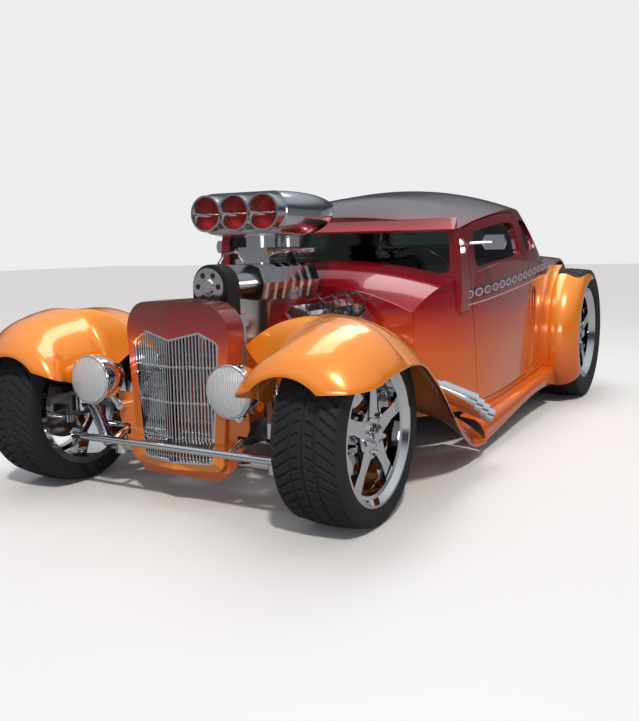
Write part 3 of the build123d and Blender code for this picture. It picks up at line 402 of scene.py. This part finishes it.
for tag, sign in (("left", 1), ("right", -1)):
    short = tag[0]
    make_tyre(f"front_tyre_{tag}", (sign * FRONT_X, FRONT_Y, FRONT_R), FRONT_R, FRONT_RIM, FRONT_WIDTH,
              FRONT_SEAT, f"wheel_f{short}", 1)
    make_tyre(f"rear_tyre_{tag}", (sign * REAR_X, REAR_Y, REAR_R), REAR_R, REAR_RIM, REAR_WIDTH,
              REAR_SEAT, f"wheel_r{short}", 1)


# Wheel nuts and caps
def make_nuts(name, hub_x, y, z, body):
    bits = Bits()
    sign = 1 if hub_x > 0 else -1
    face = abs(hub_x) + 0.007
    for k in range(5):
        angle = 2 * math.pi * (k + 0.5) / 5
        cy, cz = y + NUT_CIRCLE_R * math.sin(angle), z + NUT_CIRCLE_R * math.cos(angle)
        path = [(sign * (face + d), cy, cz) for d in (0, 0.016, 0.021)]
        bits.tube(path, [0.0105, 0.0105, 0.006], 6)
    path = [(sign * (abs(hub_x) + 0.012 + d), y, z) for d in (0, 0.02, 0.026)]
    bits.tube(path, [0.033, 0.031, 0.018], 24)
    new_piece(name, bits.verts, bits.faces, "chrome", body, smooth=False)


for short, sign in (("l", 1), ("r", -1)):
    make_nuts(f"front_nuts_{short}", sign * FRONT_HUB_X, FRONT_Y, FRONT_R, f"wheel_f{short}")
    make_nuts(f"rear_nuts_{short}", sign * REAR_HUB_X, REAR_Y, REAR_R, f"wheel_r{short}")


# Plug leads and boots on the valve covers
def bank_point(across, y, up, sign):
    x = math.cos(BANK) * across + math.sin(BANK) * up
    z = CRANK_Z - math.sin(BANK) * across + math.cos(BANK) * up
    return (sign * x, y - MIDDLE, z)


def make_leads():
    bits = Bits()
    for sign in (1, -1):
        for k in range(4):
            y = 0.430 + 0.112 * k
            low = bank_point(-0.004, y, HEAD_TOP + 0.070, sign)
            high = bank_point(-0.004, y, HEAD_TOP + 0.098, sign)
            bits.tube([low, high], [0.017, 0.012], 12)
            bend = bank_point(-0.03, y + 0.01, HEAD_TOP + 0.120, sign)
            middle = bank_point(-0.085, y + 0.03, HEAD_TOP + 0.105, sign)
            rail = bank_point(-0.120, y + 0.06, HEAD_TOP + 0.040, sign)
            bits.tube([high, bend, middle, rail], 0.0042, 8)
    new_piece("plug_leads", bits.verts, bits.faces, "lead", "body")


make_leads()


# Front fenders, as one smooth skin through given stations
# (y from the front axle, inner x, inner z, crown x, crown z, outer x, lip z), in millimetres
FENDER = (
    (-330, 480, 500, 600, 552, 720, 504),
    (-290, 400, 470, 605, 602, 806, 506),
    (-210, 422, 450, 600, 652, 856, 514),
    (-130, 414, 420, 596, 680, 866, 534),
    (-80, 402, 430, 590, 690, 871, 544),
    (-28, 378, 470, 575, 696, 871, 549),
    (0, 252, 575, 562, 698, 871, 551),
    (30, 252, 590, 560, 699, 871, 553),
    (130, 262, 590, 565, 694, 871, 536),
    (240, 320, 530, 578, 652, 869, 468),
    (340, 352, 450, 588, 572, 863, 396),
    (450, 368, 370, 596, 462, 852, 314),
    (570, 380, 300, 600, 352, 838, 226),
    (700, 388, 250, 604, 264, 820, 152),
    (860, 396, 214, 608, 204, 802, 92),
    (1064, 404, 190, 612, 168, 784, 62),
)
# The plan line that the skin is trimmed to beside the engine and the body: (y, x)
TRIM = ((300, 340), (600, 392), (873, 440), (874, 516), (1088, 638), (1200, 642))
FENDER_SKIN = 0.0068
FENDER_SLICES, FENDER_POINTS = 116, 34


def eased(rows, y):
    """A station between the set ones, on a smooth curve through them."""
    i = max(k for k in range(len(rows) - 1) if rows[k][0] <= y)
    a, b = rows[i], rows[i + 1]
    t = (y - a[0]) / (b[0] - a[0])
    before, after = rows[max(i - 1, 0)], rows[min(i + 2, len(rows) - 1)]
    out = []
    for k in range(1, len(a)):
        span = b[0] - a[0]
        left = (b[k] - before[k]) / (b[0] - before[0]) * span
        right = (after[k] - a[k]) / (after[0] - a[0]) * span
        h = (2 * t ** 3 - 3 * t ** 2 + 1, t ** 3 - 2 * t ** 2 + t, -2 * t ** 3 + 3 * t ** 2, t ** 3 - t ** 2)
        out.append(h[0] * a[k] + h[1] * left + h[2] * b[k] + h[3] * right)
    return out


def arc_through(a, b, c):
    """Centre, radius, start angle and turn of the arc from a over b to c."""
    d = 2 * (a[0] * (b[1] - c[1]) + b[0] * (c[1] - a[1]) + c[0] * (a[1] - b[1]))
    sa, sb, sc = (p[0] ** 2 + p[1] ** 2 for p in (a, b, c))
    ux = (sa * (b[1] - c[1]) + sb * (c[1] - a[1]) + sc * (a[1] - b[1])) / d
    uz = (sa * (c[0] - b[0]) + sb * (a[0] - c[0]) + sc * (b[0] - a[0])) / d
    radius = math.hypot(a[0] - ux, a[1] - uz)
    first = math.atan2(a[1] - uz, a[0] - ux)
    last = math.atan2(c[1] - uz, c[0] - ux)
    turn = last - first
    full = 2 * math.pi
    if d > 0:
        turn %= full
    else:
        turn = -((-turn) % full)
    return (ux, uz), radius, first, turn


def arc_share(centre, start, turn, place):
    """How far along an arc a point on it lies, from 0 to 1."""
    angle = math.atan2(place[1] - centre[1], place[0] - centre[0]) - start
    full = 2 * math.pi
    angle = angle % full if turn > 0 else -((-angle) % full)
    return angle / turn


def trim_x(y):
    if y <= TRIM[0][0]:
        return 0.0
    for (y0, x0), (y1, x1) in zip(TRIM, TRIM[1:]):
        if y <= y1:
            return x0 + (x1 - x0) * (y - y0) / (y1 - y0)
    return TRIM[-1][1]


def make_fender(name, sign, body):
    """Two skins, joined around the rim, sampled on the stations' arcs."""
    first, last = FENDER[0][0], FENDER[-1][0]
    stations = [first + (last - first) * k / FENDER_SLICES for k in range(FENDER_SLICES + 1)]
    points = FENDER_POINTS
    top, bottom = [], []
    for y in stations:
        y = min(y, last - 0.001)
        xi, zi, xc, zc, xo, zo = eased(FENDER, y)
        centre, radius, start, turn = arc_through((xi, zi), (xc, zc), (xo, zo))
        crown_share = arc_share(centre, start, turn, (xc, zc))
        low = 0.0
        edge = trim_x(y)
        if xi < edge:
            reach = max(-1.0, min(1.0, (edge - centre[0]) / radius))
            low = arc_share(centre, start, turn, (edge, centre[1] + radius * math.sin(math.acos(reach))))
        half = points // 2
        steps = [low + (crown_share - low) * k / half for k in range(half)]
        steps += [crown_share + (1 - crown_share) * k / (points - 1 - half) for k in range(points - half)]
        curve = [(centre[0] + radius * math.cos(start + turn * s),
                  centre[1] + radius * math.sin(start + turn * s)) for s in steps]
        y_here = (y / 1000) - MIDDLE
        top.append([(sign * x / 1000, y_here, z / 1000) for x, z in curve])
        bottom.append([(sign * x / 1000, y_here, z / 1000 - FENDER_SKIN) for x, z in curve])
    verts = [v for row in top for v in row] + [v for row in bottom for v in row]
    half = len(stations) * points
    faces = []
    for i in range(len(stations) - 1):
        for k in range(points - 1):
            quad = (i * points + k, i * points + k + 1, (i + 1) * points + k + 1, (i + 1) * points + k)
            faces.append(quad)
            faces.append(tuple(half + q for q in reversed(quad)))
    rim = list(range(points))
    rim += [(i + 1) * points - 1 for i in range(1, len(stations))]
    rim += [(len(stations) - 1) * points + k for k in range(points - 2, -1, -1)]
    rim += [i * points for i in range(len(stations) - 2, 0, -1)]
    for a, b in zip(rim, rim[1:] + rim[:1]):
        faces.append((b, a, half + a, half + b))
    if sign < 0:
        faces = [tuple(reversed(face)) for face in faces]
    skin = new_piece(name + "_skin", verts, faces, "fender_gold", body)
    mark_sharp(skin)
    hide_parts(name)


def mark_sharp(thing, degrees=40):
    """Keeps folded edges crisp on a smooth-shaded mesh."""
    thing.data.set_sharp_from_angle(angle=math.radians(degrees))


for tag, sign in (("left", 1), ("right", -1)):
    make_fender(f"front_fender_{tag}", sign, "body")


# Scoop lips, butterflies, fuel lines and lamp rims
SCOOP_Y, SCOOP_Z, MOUTH_R, MOUTH_PITCH = 0.295 - MIDDLE, 1.066, 0.073, 0.136


def make_scoop_trim():
    lips, flaps = Bits(), Bits()
    for k in (-1, 0, 1):
        x = k * MOUTH_PITCH
        ring = [(x + (MOUTH_R - 0.004) * math.cos(a), SCOOP_Y + 0.004,
                 SCOOP_Z + (MOUTH_R - 0.004) * math.sin(a))
                for a in (2 * math.pi * n / 40 for n in range(41))]
        lips.tube(ring, 0.0042, 8)
        lips.tube([(x - 0.066, SCOOP_Y + 0.058, SCOOP_Z), (x + 0.066, SCOOP_Y + 0.058, SCOOP_Z)], 0.004, 8)
        flaps.tube([(x, SCOOP_Y + 0.060, SCOOP_Z), (x, SCOOP_Y + 0.064, SCOOP_Z)], MOUTH_R - 0.0085, 40)
    piece = new_piece("scoop_lips", lips.verts, lips.faces, "chrome", "body")
    mark_sharp(piece)
    piece = new_piece("scoop_butterflies", flaps.verts, flaps.faces, "red_lens", "body")
    mark_sharp(piece)


def make_pulleys():
    """Polished faces with lightening holes on the belt drive's two toothed pulleys; each hole is a
    near-black disc of painted shade.
    """
    plates, holes = Bits(), Bits()
    front = 0.128 - MIDDLE
    for z, r in ((0.786, 0.070), (CRANK_Z, 0.078)):
        plates.tube([(0, front - 0.0082, z), (0, front - 0.011, z)], r, 48)
        plates.tube([(0, front - 0.011, z), (0, front - 0.018, z)], [0.030, 0.024], 24)
        for k in range(6):
            a = 2 * math.pi * k / 6
            x, up = 0.047 * math.cos(a), z + 0.047 * math.sin(a)
            # Each hole is a dark disc on the face: painted shade for the hollow behind it.
            holes.tube([(x, front - 0.0106, up), (x, front - 0.0114, up)], 0.011, 20)
    piece = new_piece("pulley_faces", plates.verts, plates.faces, "polished_alloy", "body")
    mark_sharp(piece)
    new_piece("pulley_hole_painted_shade", holes.verts, holes.faces, "belt_rubber", "body", smooth=False)


def make_fuel_lines():
    bits = Bits()
    for sign in (1, -1):
        for y in (0.496, 0.700):
            y -= MIDDLE
            loop = [(sign * 0.070, y - 0.05, 0.905), (sign * 0.104, y - 0.05, 0.912),
                    (sign * 0.118, y - 0.02, 0.918), (sign * 0.118, y + 0.02, 0.918),
                    (sign * 0.104, y + 0.05, 0.912), (sign * 0.070, y + 0.05, 0.905)]
            bits.tube(loop, 0.0055, 10)
            for d in (-0.05, 0.05):
                bits.tube([(sign * 0.070, y + d, 0.905), (sign * 0.084, y + d, 0.908)], 0.010, 6)
        feed = [(sign * 0.118, 0.700 - MIDDLE, 0.918), (sign * 0.124, 0.600 - MIDDLE, 0.916),
                (sign * 0.118, 0.496 - MIDDLE, 0.918), (sign * 0.112, 0.380 - MIDDLE, 0.900),
                (sign * 0.105, 0.330 - MIDDLE, 0.868)]
        bits.tube(feed, 0.0052, 10)
    piece = new_piece("fuel_lines", bits.verts, bits.faces, "chrome", "body")
    mark_sharp(piece)


def make_lamp_rims():
    bits = Bits()
    for sign in (1, -1):
        ring = [(sign * 0.313 + 0.0875 * math.cos(a), -0.2045 - MIDDLE, 0.458 + 0.0875 * math.sin(a))
                for a in (2 * math.pi * n / 64 for n in range(65))]
        bits.tube(ring, 0.0048, 10)
    new_piece("lamp_rims", bits.verts, bits.faces, "chrome", "body")


def make_calipers():
    """Enamel over the calipers' outer faces."""
    tilt = math.radians(-20)
    for short, sign, disc_x, hub_y, hub_z, body in (
            ("fl", 1, FRONT_DISC_X, FRONT_Y, FRONT_R, "knuckle_l"),
            ("fr", -1, FRONT_DISC_X, FRONT_Y, FRONT_R, "knuckle_r"),
            ("rl", 1, REAR_DISC_X, REAR_Y, REAR_R, "body"), ("rr", -1, REAR_DISC_X, REAR_Y, REAR_R, "body")):
        bits = Bits()
        reach = 0.011 + 0.004 + 0.014
        bits.block((sign * (disc_x + reach - 0.001), -0.1765, -0.0525),
                   (sign * (disc_x + reach + 0.0012), -0.1155, 0.0525))
        turned = []
        for x, y, z in bits.verts:
            turned.append((x, hub_y + y * math.cos(tilt) - z * math.sin(tilt),
                           hub_z + y * math.sin(tilt) + z * math.cos(tilt)))
        new_piece(f"caliper_face_{short}", turned, bits.faces, "caliper_red", body, smooth=False)


def surface_x(node, y, z):
    """How far out the left side of a CAD node reaches at one height and station."""
    hit, place, _, _ = nodes[node].ray_cast(Vector((1.4, y, z)), Vector((-1, 0, 0)))
    return place.x if hit else None


def make_side_slots():
    """The upright slot behind each door, drawn as a near-black bar of painted shade, with its raised lip."""
    slot_y = 2.030 - MIDDLE
    for tag, sign in (("left", 1), ("right", -1)):
        slot_shade_bits, lip_bits = Bits(), Bits()
        slot_shade_path, lip_path = [], []
        for k in range(24):
            z = 0.265 + 0.430 * k / 23
            bow = 0.014 * math.sin(math.pi * k / 23)
            x = surface_x("quarter_panels", slot_y - bow, z)
            lip_x = surface_x("quarter_panels", slot_y - 0.014 - bow, z)
            if x and lip_x:
                slot_shade_path.append((sign * x, slot_y - bow, z))
                lip_path.append((sign * (lip_x - 0.002), slot_y - 0.014 - bow, z))
        thin = [0.002] + [0.006] * (len(slot_shade_path) - 2) + [0.002]
        wide = [0.004] + [0.011] * (len(lip_path) - 2) + [0.004]
        slot_shade_bits.tube(slot_shade_path, thin, 10)
        lip_bits.tube(lip_path, wide, 14)
        # The slot is painted shade: a dark bar in the ignition-lead material where the opening lies.
        new_piece(f"side_slot_{tag}", slot_shade_bits.verts, slot_shade_bits.faces, "lead", "body")
        new_piece(f"side_slot_lip_{tag}", lip_bits.verts, lip_bits.faces, "body_red", "body")


make_side_slots()
make_scoop_trim()
make_pulleys()
make_fuel_lines()
make_lamp_rims()
make_calipers()


# Camera, lights and stage
def make_camera():
    azimuth, elevation, roll = math.radians(29.7), math.radians(8.0), math.radians(-1.03)
    ahead = Vector((-math.sin(azimuth) * math.cos(elevation), math.cos(azimuth) * math.cos(elevation),
                    -math.sin(elevation)))
    turn = ahead.to_track_quat("-Z", "Y").to_matrix().to_4x4()
    data = bpy.data.cameras.new("camera")
    data.lens = 41.04
    data.sensor_width = 36.0
    camera = bpy.data.objects.new("camera", data)
    camera.matrix_world = Matrix.Translation((1.905, -2.383 - MIDDLE, 0.935)) @ turn @ Matrix.Rotation(
        roll, 4, "Z")
    bpy.context.scene.collection.objects.link(camera)
    bpy.context.scene.camera = camera


def area_light(name, place, target, size, power, tint="ffffff"):
    data = bpy.data.lights.new(name, "AREA")
    data.shape = "RECTANGLE"
    data.size, data.size_y = size
    data.energy = power
    data.color = colour(tint)[:3]
    lamp = bpy.data.objects.new(name, data)
    lamp.location = place
    lamp.rotation_euler = (Vector(target) - Vector(place)).to_track_quat("-Z", "Y").to_euler()
    bpy.context.scene.collection.objects.link(lamp)


def sun_light(name, towards, strength):
    data = bpy.data.lights.new(name, "SUN")
    data.energy = strength
    data.angle = math.radians(4)
    data.color = colour("fff6ea")[:3]
    lamp = bpy.data.objects.new(name, data)
    lamp.rotation_euler = Vector(towards).to_track_quat("Z", "Y").to_euler()
    bpy.context.scene.collection.objects.link(lamp)


def stage_material(name, code, seen):
    """Stage surface: pale to the camera, darker in reflections so that chrome keeps its edges."""
    t = Tree(name)
    point = t.place()[0]
    t.rough(point, 0.55, 0.7, 300)
    path = t.add("ShaderNodeLightPath")
    base = t.mix(path.outputs["Is Camera Ray"], colour(seen), colour(code))
    t.feed(t.shader, Base_Color=base)
    return t.material


def make_stage():
    mesh = bpy.data.meshes.new("floor")
    reach = 30.0
    mesh.from_pydata([(-reach, -reach, 0), (reach, -reach, 0), (reach, reach, 0), (-reach, reach, 0)],
                     [], [(0, 1, 2, 3)])
    floor = bpy.data.objects.new("floor", mesh)
    bpy.context.scene.collection.objects.link(floor)
    mesh.materials.append(stage_material("studio floor, pale paint", "d6d6d7", "8c8c8e"))
    world = bpy.data.worlds.new("world")
    world.use_nodes = True
    tree = world.node_tree
    background = tree.nodes["Background"]
    path = tree.nodes.new("ShaderNodeLightPath")
    mix = tree.nodes.new("ShaderNodeMix")
    mix.data_type = "RGBA"
    ramp = tree.nodes.new("ShaderNodeValToRGB")
    coord = tree.nodes.new("ShaderNodeTexCoord")
    split = tree.nodes.new("ShaderNodeSeparateXYZ")
    tree.links.new(coord.outputs["Generated"], split.inputs[0])
    tree.links.new(split.outputs[2], ramp.inputs[0])
    stops = ((0.0, "8c8e92"), (0.10, "44474c"), (0.24, "50545a"), (0.42, "b4bac4"), (1.0, "f4f6fa"))
    while len(ramp.color_ramp.elements) < len(stops):
        ramp.color_ramp.elements.new(0.5)
    for element, (position, code) in zip(ramp.color_ramp.elements, stops):
        element.position = position
        element.color = colour(code)
    tree.links.new(path.outputs["Is Camera Ray"], mix.inputs[0])
    tree.links.new(ramp.outputs[0], mix.inputs[6])
    mix.inputs[7].default_value = colour("ffffff")
    tree.links.new(mix.outputs[2], background.inputs["Color"])
    background.inputs["Strength"].default_value = 0.85
    bpy.context.scene.world = world


make_camera()
sun_light("sun", (1.6, -2.2, 3.4), 2.3)
area_light("top", (0.0, 0.4, 4.5), (0, 0, 0.5), (1.6, 5.0), 90)
area_light("front", (3.2, -6.0, 1.6), (0.3, -1.2, 0.4), (2.0, 1.0), 60)
make_stage()

scene = bpy.context.scene
scene.view_settings.view_transform = "Standard"
